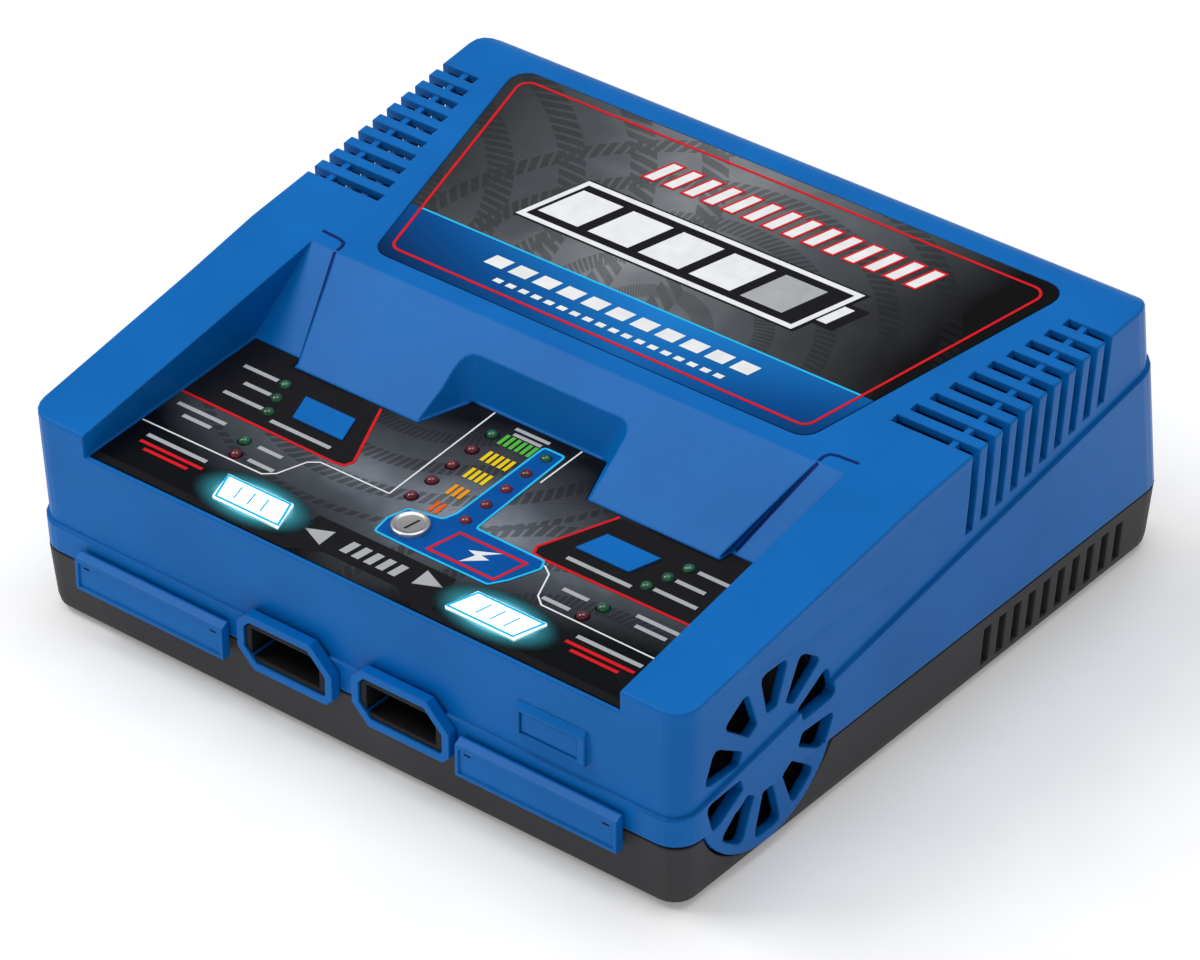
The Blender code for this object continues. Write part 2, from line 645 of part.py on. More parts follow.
def make_port_covers(mats):
    """Covers over the balance sockets: each swings down on its lower edge."""
    for side, word in ((-1, "left"), (1, "right")):
        x0, x1 = sorted(side * x for x in COVER_X)
        hinge = Vector(((x0 + x1) / 2, *COVER_HINGE))
        half = (x1 - x0) / 2
        face = FRONT_FACE_Y - 0.2 - hinge.y
        back = FRONT_FACE_Y + COVER_THICKNESS - hinge.y
        low, high = (z - hinge.z for z in COVER_Z)
        profile = [(face, low), (back, low), (back, high), (back - 0.6, high), (face, high - COVER_TOP_SLOPE)]
        cover = prism(f"port_cover_{word}", profile, "x", -half, half, mats["blue"])
        cover.location = hinge * MM
        panel = box(f"cover_panel_{word}", (-half + 1.0, face - 2, low + 0.9),
                    (half - 0.9, face + 0.45, high - COVER_TOP_SLOPE - 0.8))
        panel.location = cover.location
        cut(cover, panel)
        socket_x = sorted((side * 45.0, side * 75.0))
        socket = box(f"balance_socket_{word}", (socket_x[0], -96.6, 16.2), (socket_x[1], -84.0, 22.0),
                     mats["cream"])
        cut(socket, box(f"balance_room_{word}", (socket_x[0] + 1, -100, 16.8),
                        (socket_x[1] - 1, -88.0, 21.4)))


def make_service_port(mats):
    """A plate lies in the hood's recess, over a metal socket behind the wall's opening."""
    box("service_port_cover", (HOOD_ROOM_X[0] + GAP, HOOD_FACE_Y + 0.5, HOOD_ROOM_Z[0] + GAP),
        (HOOD_ROOM_X[1] - GAP, HOOD_ROOM_Y - GAP, HOOD_ROOM_Z[1] - GAP), mats["blue"])
    (x0, x1), (z0, z1) = SERVICE_OPENING_X, SERVICE_OPENING_Z
    socket = box("service_port_socket", (x0 + GAP, -95.2, z0 + GAP), (x1 - GAP, -80.0, z1 - GAP),
                 mats["steel"])
    cut(socket, box("service_port_room", (x0 + SERVICE_SHELL, -100, z0 + SERVICE_SHELL),
                    (x1 - SERVICE_SHELL, -84.0, z1 - SERVICE_SHELL)))


def make_fan(mats):
    half = FAN_FRAME / 2
    frame_outline = rounded_box_outline((FAN_Y - half, FAN_Y + half), (FAN_Z - half, FAN_Z + half), 3.0, 3)
    fan_frame = prism("fan_frame", frame_outline, "x", FAN_X[0], FAN_X[1], mats["black"])
    cut(fan_frame, prism("fan_bore", circle((FAN_Y, FAN_Z), 23.6, 40), "x", FAN_X[0] + 1.6, 120))
    ring = prism("motor_window", circle((FAN_Y, FAN_Z), 23.0, 40), "x", 80, 120)
    keep = prism("motor_seat", circle((FAN_Y, FAN_Z), 10.5, 24), "x", 78, 122)
    cut(ring, keep)
    for index in range(3):
        angle = math.radians(30 + 120 * index)
        along = Vector((math.cos(angle), math.sin(angle)))
        across = Vector((-along.y, along.x)) * 1.6
        centre = Vector((FAN_Y, FAN_Z))
        spoke = [centre + across, centre - across, centre + along * 26 - across, centre + along * 26 + across]
        cut(ring, prism(f"spoke_{index}", [tuple(p) for p in spoke], "x", 79, 121))
    cut(fan_frame, ring)
    make_fan_rotor(mats["black"])


def make_fan_rotor(mat):
    """A hub with seven pitched blades; its origin is on the shaft."""
    hub = prism("fan_rotor", circle((0, 0), 10.0, 24), "x", -3.6, 3.6, mat)
    hub.location = Vector((FAN_X[0] + 5.6, FAN_Y, FAN_Z)) * MM
    for index in range(7):
        turn = Matrix.Rotation(2 * math.pi * index / 7, 4, "X")
        corners = [(-2.6, -3.2, 8.8), (-1.4, -3.2, 8.8), (2.9, 3.2, 8.8), (1.7, 3.2, 8.8)]
        tips = [(-3.0, -6.6, 22.0), (-1.8, -6.6, 22.0), (3.2, 4.2, 22.0), (2.0, 4.2, 22.0)]
        rings = [[tuple(turn @ Vector(point)) for point in ring] for ring in (corners, tips)]
        blade = loft(f"blade_{index}", rings)
        blade.location = hub.location
        unite(hub, blade)


def make_insides(mats):
    """The power board, with its transformer, finned heat sink and two capacitors standing on it."""
    box("power_board", (-72, -68, BOARD_Z), (80, 80, BOARD_Z + BOARD_THICKNESS), mats["board"])
    top = BOARD_Z + BOARD_THICKNESS + GAP
    core = box("transformer", (-20, 6, top), (26, 44, top + 26), mats["core"])
    unite(core, box("winding", (-14, 0, top + 5), (20, 50, top + 21)))
    sink = box("heat_sink", (-64, -20, top), (-42, 66, top + 4), mats["aluminium"])
    for index in range(5):
        x = -64 + index * 4.8
        unite(sink, box(f"fin_{index}", (x, -20, top + 2), (x + 1.6, 66, top + 30)))
    for index, y in enumerate((56.0, 30.0)):
        prism(f"capacitor_{index + 1}", circle((56.0, y), 11.0, 20), "z", top, top + 34, mats["sleeve"],
              smooth=True)


def make_control_board(mat, panel):
    outline = [(-62, -88), (62, -88), (62, -70), (78, -70), (78, -44), (-78, -44), (-78, -70), (-62, -70)]
    local = [(x, y - PANEL_ORIGIN[0]) for x, y in outline]
    prism("control_board", local, "z", -7.6, -6.0, mat, panel)


def make_inlet(mats):
    body = box("mains_inlet", (INLET_X[0], 78.0, INLET_Z[0]), (INLET_X[1], INLET_FACE_Y, INLET_Z[1]),
               mats["black"])
    middle = ((INLET_X[0] + INLET_X[1]) / 2, (INLET_Z[0] + INLET_Z[1]) / 2)
    well = rounded_box_outline((middle[0] - 8.2, middle[0] + 8.2), (middle[1] - 4.3, middle[1] + 4.3), 3.8, 5)
    cut(body, prism("inlet_well", well, "y", 82.0, 120.0))
    for side, word in ((-1, "left"), (1, "right")):
        centre = (middle[0] + side * 4.3, middle[1])
        prism(f"inlet_pin_{word}", circle(centre, 1.2, 12), "y", 82.3, 89.0, mats["brass"], smooth=True)


def make_feet_and_screws(mats):
    for index, (x, y) in enumerate(foot_places()):
        prism(f"foot_{index + 1}", circle((x, y), FOOT_RADIUS, 16), "z", 0.0, FOOT_HEIGHT + 0.5,
              mats["rubber"], smooth=True)
    for index, (x, y) in enumerate(screw_posts()):
        low = FOOT_HEIGHT + 0.3
        levels = [(3.0, low), (3.0, low + 1.0), (1.45, low + 1.6), (1.45, 18.0)]
        rings = [[(px, py, z) for px, py in circle((x, y), r, 12)] for r, z in levels]
        loft(f"housing_screw_{index + 1}", rings, mats["steel"], smooth=True)


def main():
    clear_scene()
    mats = {
        "blue": material("blue_plastic", BLUE, 0.38),
        "grey": material("grey_plastic", DARK_GREY, 0.55),
        "black": material("black_plastic", BLACK, 0.5),
        "label": material("printed_label", (0.02, 0.02, 0.025), 0.3),
        "overlay": material("printed_overlay", (0.015, 0.015, 0.018), 0.25),
        "lens": material("lit_lens", (0.75, 0.95, 1.0), 0.3),
        "green_lamp": material("green_lamp", (0.02, 0.18, 0.07), 0.2),
        "red_lamp": material("red_lamp", (0.16, 0.01, 0.02), 0.2),
        "steel": material("steel", (0.6, 0.6, 0.62), 0.3, 1.0),
        "aluminium": material("aluminium", (0.75, 0.75, 0.76), 0.35, 1.0),
        "brass": material("brass", (0.75, 0.55, 0.25), 0.3, 1.0),
        "board": material("circuit_board", (0.02, 0.14, 0.06), 0.5),
        "core": material("transformer", (0.35, 0.28, 0.08), 0.6),
        "sleeve": material("capacitor_sleeve", (0.03, 0.03, 0.05), 0.4),
        "cream": material("cream_plastic", (0.75, 0.72, 0.62), 0.5),
        "rubber": material("rubber", (0.02, 0.02, 0.02), 0.85),
    }
    panel = frame("panel_frame", (0, PANEL_ORIGIN[0], PANEL_ORIGIN[1]), PANEL_TILT)
    make_upper_housing(mats["blue"], panel)
    make_lower_tray(mats["grey"])
    make_top_label(mats["label"])
    make_control_overlay(mats["overlay"], panel)
    make_keys(mats, panel)
    make_lamps(mats, panel)
    make_battery_ports(mats)
    make_port_covers(mats)
    make_service_port(mats)
    make_fan(mats)
    make_insides(mats)
    make_control_board(mats["board"], panel)
    make_inlet(mats)
    make_feet_and_screws(mats)


main()
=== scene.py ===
"""Looks of the dual balance charger: materials, printed artwork, lamps, keys, details, light, camera."""
import math

import bmesh
import bpy
from mathutils import Matrix, Vector


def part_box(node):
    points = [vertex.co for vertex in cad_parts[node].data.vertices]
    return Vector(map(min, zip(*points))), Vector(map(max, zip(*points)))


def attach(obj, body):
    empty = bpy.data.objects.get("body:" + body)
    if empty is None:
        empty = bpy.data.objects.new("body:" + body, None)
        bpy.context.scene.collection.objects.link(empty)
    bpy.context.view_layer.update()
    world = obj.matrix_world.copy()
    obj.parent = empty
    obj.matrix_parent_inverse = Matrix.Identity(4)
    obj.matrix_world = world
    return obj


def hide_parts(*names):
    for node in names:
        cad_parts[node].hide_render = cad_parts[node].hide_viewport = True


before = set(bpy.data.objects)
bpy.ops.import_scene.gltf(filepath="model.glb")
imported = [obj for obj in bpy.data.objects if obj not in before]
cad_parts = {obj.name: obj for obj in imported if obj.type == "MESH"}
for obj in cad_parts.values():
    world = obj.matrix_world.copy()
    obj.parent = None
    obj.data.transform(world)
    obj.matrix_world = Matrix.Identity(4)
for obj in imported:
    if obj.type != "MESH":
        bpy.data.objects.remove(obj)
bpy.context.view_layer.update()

MM = 0.001

# Camera
CAMERA_PLACE = Vector((0.6944, -0.8736, 0.7946))
CAMERA_AZIMUTH = math.radians(38.50)
CAMERA_ELEVATION = math.radians(34.48)
CAMERA_LENS = 164.85

# Where the printed sheets lie, as (y, z) in mm and a tilt: the deck plane behind its kink, and the
# control panel plane
DECK_ORIGIN = (-12.0, 71.7)
DECK_TILT = math.atan2(81.5 - 71.7, 84.7 + 12.0)
PANEL_ORIGIN = (-65.0, 53.15)
PANEL_TILT = math.atan(0.0511)

# The brow, the slope that rises from behind the control panel to the deck
BAY_ORIGIN = (-34.4, 54.7)
BAY_TILT = math.atan2(71.72 - 54.7, 34.4 - 12.1)

# Heights above the sheet, in mm: prints nearest the film, then those that lie over them
PRINT_LIFT = 0.02
ZONE_LIFT = 0.10
ZONE_TOP_LIFT = 0.15
KEY_TOP_LIFT = 0.72

# Places on the control panel, in mm: the rows of charge-status lamps, and the two lit keys' sides
STATUS_Y = (-31.8, -39.34, -46.88, -54.42, -61.96)
START_KEYS = (("left", -1), ("right", 1))

# Lamps, in mm
LAMP_RADIUS = 1.6
LAMP_DOME = 1.25
SEAT_DEPTH = -2.6

# Specular level of the plastics and of the printed films
PLASTIC_GLOSS = 0.11
FILM_GLOSS = 0.06

# Half the floor's side in metres, its emission, and the strength of the world's light
FLOOR_HALF = 6
FLOOR_LIFT = 0.19
WORLD_STRENGTH = 0.40

# Linear colours
BLUE = (0.0, 0.135, 0.47)
TRAY_GREY = (0.050, 0.050, 0.053)
RED = (0.70, 0.012, 0.02)
WHITE = (0.85, 0.87, 0.88)
CYAN = (0.02, 0.42, 0.72)
INK_BLUE = (0.0, 0.085, 0.36)


# ---------------------------------------------------------------- shader helpers

def new_material(name, roughness=0.4, metallic=0.0):
    made = bpy.data.materials.new(name)
    made.use_nodes = True
    shader = made.node_tree.nodes["Principled BSDF"]
    shader.inputs["Roughness"].default_value = roughness
    shader.inputs["Metallic"].default_value = metallic
    if not metallic:
        shader.inputs["Specular IOR Level"].default_value = PLASTIC_GLOSS
    return made, made.node_tree, shader


def node(tree, kind, **settings):
    made = tree.nodes.new(kind)
    for key, value in settings.items():
        setattr(made, key, value)
    return made


def object_coordinates(tree):
    """Position in the object's own space in metres: the charger's frame, but for the two glows."""
    return node(tree, "ShaderNodeTexCoord").outputs["Object"]


def noise(tree, vector, scale, detail=2.0, roughness=0.5):
    made = node(tree, "ShaderNodeTexNoise")
    made.inputs["Scale"].default_value = scale
    made.inputs["Detail"].default_value = detail
    made.inputs["Roughness"].default_value = roughness
    tree.links.new(vector, made.inputs["Vector"])
    return made.outputs["Fac"]


def ramp(tree, value, stops):
    """Colour ramp; stops are (position, rgb)."""
    made = node(tree, "ShaderNodeValToRGB")
    elements = made.color_ramp.elements
    while len(elements) < len(stops):
        elements.new(0.5)
    for element, (position, colour) in zip(elements, stops):
        element.position = position
        element.color = (*colour, 1.0)
    tree.links.new(value, made.inputs["Fac"])
    return made.outputs["Color"]


def maths(tree, operation, first, second=0.0):
    made = node(tree, "ShaderNodeMath", operation=operation)
    for socket, value in zip(made.inputs, (first, second)):
        if hasattr(value, "links"):
            tree.links.new(value, socket)
        else:
            socket.default_value = value
    return made.outputs[0]


def line(tree, value, factor, offset):
    """value * factor + offset"""
    made = maths(tree, "MULTIPLY_ADD", value, factor)
    made.node.inputs[2].default_value = offset
    return made


def hypotenuse(tree, x, y):
    squares = maths(tree, "ADD", maths(tree, "MULTIPLY", x, x), maths(tree, "MULTIPLY", y, y))
    return maths(tree, "SQRT", squares)


def dimmed(colour, share):
    return tuple(channel * share for channel in colour)


def mix(tree, factor, first, second):
    made = node(tree, "ShaderNodeMix", data_type="RGBA")
    for socket, value in ((made.inputs[0], factor), (made.inputs[6], first), (made.inputs[7], second)):
        if hasattr(value, "links"):
            tree.links.new(value, socket)
        elif isinstance(value, tuple):
            socket.default_value = (*value, 1.0)
        else:
            socket.default_value = value
    return made.outputs[2]


def add_surface(tree, shader, height, strength, distance, edge=0.0):
    """Bump from a height value, over edges softened by `edge` metres."""
    bump = node(tree, "ShaderNodeBump")
    bump.inputs["Strength"].default_value = strength
    bump.inputs["Distance"].default_value = distance
    tree.links.new(height, bump.inputs["Height"])
    if edge:
        soft = node(tree, "ShaderNodeBevel", samples=6)
        soft.inputs["Radius"].default_value = edge
        tree.links.new(soft.outputs["Normal"], bump.inputs["Normal"])
    tree.links.new(bump.outputs["Normal"], shader.inputs["Normal"])


def moulded_plastic(name, colour, roughness, grain=0.12, edge=0.0007):
    """Moulded plastic: fine spark-eroded grain, faint cloudiness in the colour and gloss."""
    made, tree, shader = new_material(name, roughness)
    place = object_coordinates(tree)
    cloud = noise(tree, place, 38.0, 3.0)
    darker = dimmed(colour, 0.93)
    lighter = tuple(min(1.0, channel * 1.05 + 0.001) for channel in colour)
    tree.links.new(ramp(tree, cloud, ((0.35, darker), (0.68, lighter))), shader.inputs["Base Color"])
    gloss = noise(tree, place, 900.0, 2.0)
    spread = line(tree, gloss, 0.10, roughness - 0.05)
    tree.links.new(spread, shader.inputs["Roughness"])
    add_surface(tree, shader, noise(tree, place, 2600.0, 2.0), grain, 0.00008, edge)
    return made


def brushed_metal(name, colour, roughness, along=(1.0, 1.0, 1.0)):
    made, tree, shader = new_material(name, roughness, 1.0)
    stretch = node(tree, "ShaderNodeVectorMath", operation="MULTIPLY")
    tree.links.new(object_coordinates(tree), stretch.inputs[0])
    stretch.inputs[1].default_value = along
    streaks = noise(tree, stretch.outputs["Vector"], 1600.0, 3.0)
    darker = dimmed(colour, 0.82)
    tree.links.new(ramp(tree, streaks, ((0.3, darker), (0.7, colour))), shader.inputs["Base Color"])
    add_surface(tree, shader, streaks, 0.15, 0.00005, 0.0003)
    return made


def printed(name, colour, emission=0.0):
    """One ink on the printed film, with the film's faint orange-peel; an emission makes it a painted glow."""
    made, tree, shader = new_material(name, 0.28)
    shader.inputs["Specular IOR Level"].default_value = FILM_GLOSS
    place = object_coordinates(tree)
    fade = noise(tree, place, 240.0, 2.0)
    darker = dimmed(colour, 0.9)
    tree.links.new(ramp(tree, fade, ((0.3, darker), (0.7, colour))), shader.inputs["Base Color"])
    # painted light: emission makes the ink shine though no lamp lies behind it
    if emission:
        shader.inputs["Emission Color"].default_value = (*colour, 1.0)
        shader.inputs["Emission Strength"].default_value = emission
    add_surface(tree, shader, noise(tree, place, 700.0, 1.0), 0.04, 0.00005)
    return made


def split(tree, vector):
    made = node(tree, "ShaderNodeSeparateXYZ")
    tree.links.new(vector, made.inputs[0])
    return made.outputs


def ring_tracks(tree, place, centre, pitch, width, reach):
    """Tyre-track arcs round a centre, in x and y: 1 on the rubber marks and 0 between them."""
    x, y, _ = split(tree, place)
    dx = maths(tree, "SUBTRACT", x, centre[0] * MM)
    dy = maths(tree, "SUBTRACT", y, centre[1] * MM)
    radius = hypotenuse(tree, dx, dy)
    turn = maths(tree, "ARCTAN2", dy, dx)
    lane = maths(tree, "PINGPONG", radius, pitch * MM)
    on_lane = maths(tree, "LESS_THAN", lane, width * MM)
    block = maths(tree, "PINGPONG", maths(tree, "ADD", turn, maths(tree, "MULTIPLY", radius, 9.0)), 0.022)
    on_block = maths(tree, "GREATER_THAN", block, 0.007)
    inside = maths(tree, "LESS_THAN", radius, reach * MM)
    return maths(tree, "MULTIPLY", maths(tree, "MULTIPLY", on_lane, on_block), inside)


def label_film():
    """Black to smoky grey print with two sweeping tyre tracks, and a blue band along the front."""
    made, tree, shader = new_material("label_film", 0.3)
    shader.inputs["Specular IOR Level"].default_value = FILM_GLOSS
    place = object_coordinates(tree)
    x, y, _ = split(tree, place)
    smoke = noise(tree, place, 16.0, 4.0, 0.6)
    across = line(tree, maths(tree, "ABSOLUTE", maths(tree, "ADD", x, 0.012)), -9.0, 0.86)
    glow = maths(tree, "MULTIPLY", across, maths(tree, "ADD", smoke, 0.25))
    grey = ramp(tree, glow, ((0.08, (0.003, 0.003, 0.004)), (0.40, (0.08, 0.088, 0.098)),
                             (0.80, (0.33, 0.35, 0.37))))
    left_track = ring_tracks(tree, place, (-118.0, -8.0), 9.0, 3.4, 140.0)
    right_track = ring_tracks(tree, place, (8.0, 5.0), 7.5, 2.6, 80.0)
    tracks = maths(tree, "MULTIPLY", maths(tree, "MAXIMUM", left_track, right_track), 0.42)
    marked = mix(tree, tracks, grey, (0.012, 0.012, 0.015))
    shade = line(tree, y, 42.0, 0.32)
    side = line(tree, maths(tree, "ABSOLUTE", maths(tree, "SUBTRACT", x, 0.01)), -7.5, 0.62)
    band_light = maths(tree, "ADD", maths(tree, "MULTIPLY", shade, 0.45), side)
    band = ramp(tree, band_light, ((0.0, (0.0, 0.008, 0.04)), (0.45, (0.0, 0.07, 0.27)),
                                   (1.0, (0.01, 0.20, 0.60))))
    in_band = maths(tree, "LESS_THAN", y, 0.0134)
    tree.links.new(mix(tree, in_band, marked, band), shader.inputs["Base Color"])
    add_surface(tree, shader, noise(tree, place, 500.0, 1.0), 0.05, 0.00006)
    return made


def overlay_film():
    """Dark control film: smoky greys in the middle with tyre tracks, near black at the sides."""
    made, tree, shader = new_material("overlay_film", 0.3)
    shader.inputs["Specular IOR Level"].default_value = FILM_GLOSS
    place = object_coordinates(tree)
    x, y, _ = split(tree, place)
    smoke = noise(tree, place, 22.0, 4.0, 0.62)
    away = maths(tree, "ABSOLUTE", x)
    depth = maths(tree, "ABSOLUTE", maths(tree, "ADD", y, 0.061))
    centre = line(tree, maths(tree, "ADD", maths(tree, "MULTIPLY", away, 0.35), depth), -21.0, 1.02)
    light = maths(tree, "MULTIPLY", centre, maths(tree, "ADD", smoke, 0.3))
    grey = ramp(tree, light, ((0.15, (0.003, 0.0035, 0.005)), (0.5, (0.065, 0.075, 0.09)),
                              (0.9, (0.26, 0.29, 0.34))))
    left_track = ring_tracks(tree, place, (-30.0, -6.0), 6.0, 2.2, 72.0)
    right_track = ring_tracks(tree, place, (62.0, -108.0), 6.5, 2.2, 76.0)
    tracks = maths(tree, "MULTIPLY", maths(tree, "MAXIMUM", left_track, right_track), 0.5)
    tree.links.new(mix(tree, tracks, grey, (0.01, 0.01, 0.012)), shader.inputs["Base Color"])
    add_surface(tree, shader, noise(tree, place, 500.0, 1.0), 0.05, 0.00006)
    return made


def painted_key_glow():
    """Painted light that spreads in the film round a lit key; it fades out to the film's dark edge."""
    made, tree, shader = new_material("painted_key_glow", 0.3)
    x, y, _ = split(tree, object_coordinates(tree))
    far_x = maths(tree, "MULTIPLY", x, 1.0 / 0.0185)
    far_y = maths(tree, "MULTIPLY", y, 1.0 / 0.0095)
    away = hypotenuse(tree, far_x, far_y)
    fade = maths(tree, "SUBTRACT", 1.0, away)
    colour = ramp(tree, fade, ((0.0, (0.0, 0.0, 0.0)), (0.35, (0.02, 0.16, 0.20)), (0.8, (0.30, 0.80, 0.95))))
    tree.links.new(colour, shader.inputs["Base Color"])
    tree.links.new(colour, shader.inputs["Emission Color"])
    shader.inputs["Emission Strength"].default_value = 0.75
    clear = maths(tree, "MULTIPLY", fade, 1.5)
    clear.node.use_clamp = True
    tree.links.new(clear, shader.inputs["Alpha"])
    return made


def lit_lens():
    made, tree, shader = new_material("lit_lens", 0.2)
    place = object_coordinates(tree)
    cloud = noise(tree, place, 260.0, 2.0)
    colour = ramp(tree, cloud, ((0.3, (0.72, 0.93, 1.0)), (0.6, (1.0, 1.0, 1.0))))
    tree.links.new(colour, shader.inputs["Base Color"])
    tree.links.new(colour, shader.inputs["Emission Color"])
    shader.inputs["Emission Strength"].default_value = 1.15
    return made


def lamp_lens(name, colour):
    """Tinted glossy lamp, off."""
    made, tree, shader = new_material(name, 0.08)
    place = object_coordinates(tree)
    swirl = noise(tree, place, 420.0, 1.0)
    darker = dimmed(colour, 0.45)
    tree.links.new(ramp(tree, swirl, ((0.35, darker), (0.65, colour))), shader.inputs["Base Color"])
    shader.inputs["Coat Weight"].default_value = 1.0
    shader.inputs["Coat Roughness"].default_value = 0.05
    return made


MATERIALS = {
    "blue": moulded_plastic("blue_plastic", BLUE, 0.36, 0.10, 0.0009),
    "cover_blue": moulded_plastic("cover_plastic", BLUE, 0.34, 0.08, 0.0004),
    "grey": moulded_plastic("grey_plastic", TRAY_GREY, 0.5, 0.25, 0.0009),
    "black": moulded_plastic("black_plastic", (0.012, 0.012, 0.014), 0.45),
    "cream": moulded_plastic("cream_plastic", (0.72, 0.68, 0.56), 0.5),
    "rubber": moulded_plastic("rubber", (0.02, 0.02, 0.021), 0.82, 0.3),
    "board": moulded_plastic("circuit_board", (0.015, 0.12, 0.05), 0.4),
    "winding": moulded_plastic("transformer_tape", (0.42, 0.30, 0.05), 0.5),
    "sleeve": moulded_plastic("capacitor_sleeve", (0.025, 0.027, 0.05), 0.25),
    # painted shade: dark blue that stands in for the shade in the brow grooves and along the brow pad's edge
    "groove_shade_paint": moulded_plastic("groove_shadow", (0.0, 0.018, 0.15), 0.6),
    # painted shade: near black standing in for the shade inside the port covers' finger slots
    "slot_shade_paint": moulded_plastic("slot_painted_shadow", (0.004, 0.004, 0.005), 0.8),
    "steel": brushed_metal("satin_steel", (0.60, 0.60, 0.61), 0.34, (1.0, 8.0, 1.0)),
    "aluminium": brushed_metal("extruded_aluminium", (0.78, 0.78, 0.79), 0.36, (1.0, 0.05, 1.0)),
    "brass": brushed_metal("plated_brass", (0.80, 0.60, 0.28), 0.28),
    "label": label_film(),
    "overlay": overlay_film(),
    "lens": lit_lens(),
    "glow": painted_key_glow(),
    "green_lamp": lamp_lens("green_lamp", (0.01, 0.13, 0.05)),
    "red_lamp": lamp_lens("red_lamp", (0.17, 0.006, 0.018)),
    "red_ink": printed("red_ink", RED),
    "white_ink": printed("white_ink", WHITE),
    "silver_ink": printed("silver_ink", (0.42, 0.44, 0.46)),
    "dark_ink": printed("dark_ink", (0.010, 0.010, 0.012)),
    # painted glow: the cyan rules shine by their own emission, on the label and the charge zone with no lamp
    # behind them
    "cyan_ink_painted_glow": printed("cyan_ink_painted_glow", CYAN, emission=0.25),
    "blue_ink": printed("blue_ink", INK_BLUE),
    "green_ink": printed("green_ink", (0.10, 0.50, 0.06)),
    "yellow_ink": printed("yellow_ink", (0.85, 0.62, 0.01)),
    "amber_ink": printed("amber_ink", (0.85, 0.33, 0.01)),
    "orange_ink": printed("orange_ink", (0.80, 0.12, 0.01)),
}

NODE_LOOKS = (
    ("upper_housing", "blue"), ("lower_tray", "grey"), ("top_label", "label"), ("control_overlay", "overlay"),
    ("start_key", "lens"), ("mode_key", "cover_blue"), ("round_key", "steel"),
    ("battery_port_bezel", "cover_blue"), ("battery_socket", "black"), ("port_cover", "cover_blue"),
    ("balance_socket", "cream"),
    ("service_port_cover", "cover_blue"), ("service_port_socket", "steel"), ("fan_frame", "black"),
    ("fan_rotor", "black"), ("control_board", "board"), ("power_board", "board"), ("transformer", "winding"),
    ("heat_sink", "aluminium"), ("capacitor", "sleeve"), ("mains_inlet", "black"), ("inlet_pin", "brass"),
    ("foot", "rubber"), ("housing_screw", "steel"),
)


def lamp_look(name):
    green = name.startswith("mode") or name.startswith("cell") and name.endswith("1")
    green = green or name.startswith("status") and name.endswith("_1")
    return "green_lamp" if green else "red_lamp"


def dress_nodes():
    for name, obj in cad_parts.items():
        if "_lamp_" in name:
            look = lamp_look(name)
        else:
            look = next(value for key, value in NODE_LOOKS if name.startswith(key))
        obj.data.materials.clear()
        obj.data.materials.append(MATERIALS[look])


# ---------------------------------------------------------------- pieces from meshes

def link_object(name, data):
    made = bpy.data.objects.new(name, data)
    bpy.context.scene.collection.objects.link(made)
    return made


def piece(name, bm, look, smooth_degrees=None):
    """The object made of a built mesh; smooth_degrees is the angle past which edges stay sharp."""
    mesh = bpy.data.meshes.new(name)
    bm.to_mesh(mesh)
    bm.free()
    if smooth_degrees:
        mesh.shade_smooth()
        mesh.set_sharp_from_angle(angle=math.radians(smooth_degrees))
    mesh.materials.append(MATERIALS[look])
    return link_object(name, mesh)


def box_middle(name):
    """A CAD node's middle in x and y, in metres."""
    low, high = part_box(name)
    return (low[0] + high[0]) / 2, (low[1] + high[1]) / 2


def upright_axis(name):
    """The place under the middle of a CAD node."""
    return Matrix.Translation((*box_middle(name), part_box(name)[0][2]))


# ---------------------------------------------------------------- printed shapes

def plane_matrix(origin, tilt, lift):
    """A function from (x, y) on a sloped sheet, in mm, to the charger's frame; y is the frame's own y."""
    def place(x, y, up=0.0):
        along = y - origin[0]
        z = origin[1] + along * math.tan(tilt)
        normal = Vector((0.0, -math.sin(tilt), math.cos(tilt)))
        return (Vector((x, y, z)) + normal * (lift + up)) * MM
    return place


def sheet_mesh(name, outlines, place, look, body="housing", thickness=0.05):
    """Flat printed shapes: each outline becomes a thin closed plate on the sheet."""
    bm = bmesh.new()
    for outline in outlines:
        low = [bm.verts.new(place(x, y, 0.0)) for x, y in outline]
        high = [bm.verts.new(place(x, y, thickness)) for x, y in outline]
        bm.faces.new(high)
        bm.faces.new(list(reversed(low)))
        for index in range(len(low)):
            after = (index + 1) % len(low)
            bm.faces.new((low[index], low[after], high[after], high[index]))
    bmesh.ops.recalc_face_normals(bm, faces=bm.faces)
    made = piece(name, bm, look)
    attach(made, body)
    return made


def stroke(points, width, closed=False):
    """Quads along a line of points, with mitred joints."""
    count = len(points)
    corners = []
    for index, point in enumerate(points):
        here = Vector(point)
        before = Vector(points[index - 1]) if closed or index else None
        after = Vector(points[(index + 1) % count]) if closed or index < count - 1 else None
        first = (here - before).normalized() if before is not None else None
        last = (after - here).normalized() if after is not None else None
        first, last = first or last, last or first
        side_a = Vector((-first.y, first.x))
        side_b = Vector((-last.y, last.x))
        mitre = (side_a + side_b).normalized()
        reach = width / 2 / max(0.4, mitre.dot(side_a))
        corners.append((here + mitre * reach, here - mitre * reach))
    quads = []
    for index in range(count if closed else count - 1):
        (a, b), (c, d) = corners[index], corners[(index + 1) % count]
        quads.append([tuple(a), tuple(b), tuple(d), tuple(c)])
    return quads


def round_corners(corners, radius, steps=5):
    points = []
    for index, corner in enumerate(corners):
        here = Vector(corner)
        before = (Vector(corners[index - 1]) - here).normalized()
        after = (Vector(corners[(index + 1) % len(corners)]) - here).normalized()
        half = before.angle(after) / 2
        centre = here + (before + after).normalized() * (radius / math.sin(half))
        first = here + before * (radius / math.tan(half)) - centre
        last = here + after * (radius / math.tan(half)) - centre
        turn = first.angle_signed(last)
        for step in range(steps + 1):
            angle = -turn * step / steps
            points.append((centre.x + first.x * math.cos(angle) - first.y * math.sin(angle),
                           centre.y + first.x * math.sin(angle) + first.y * math.cos(angle)))
    return points


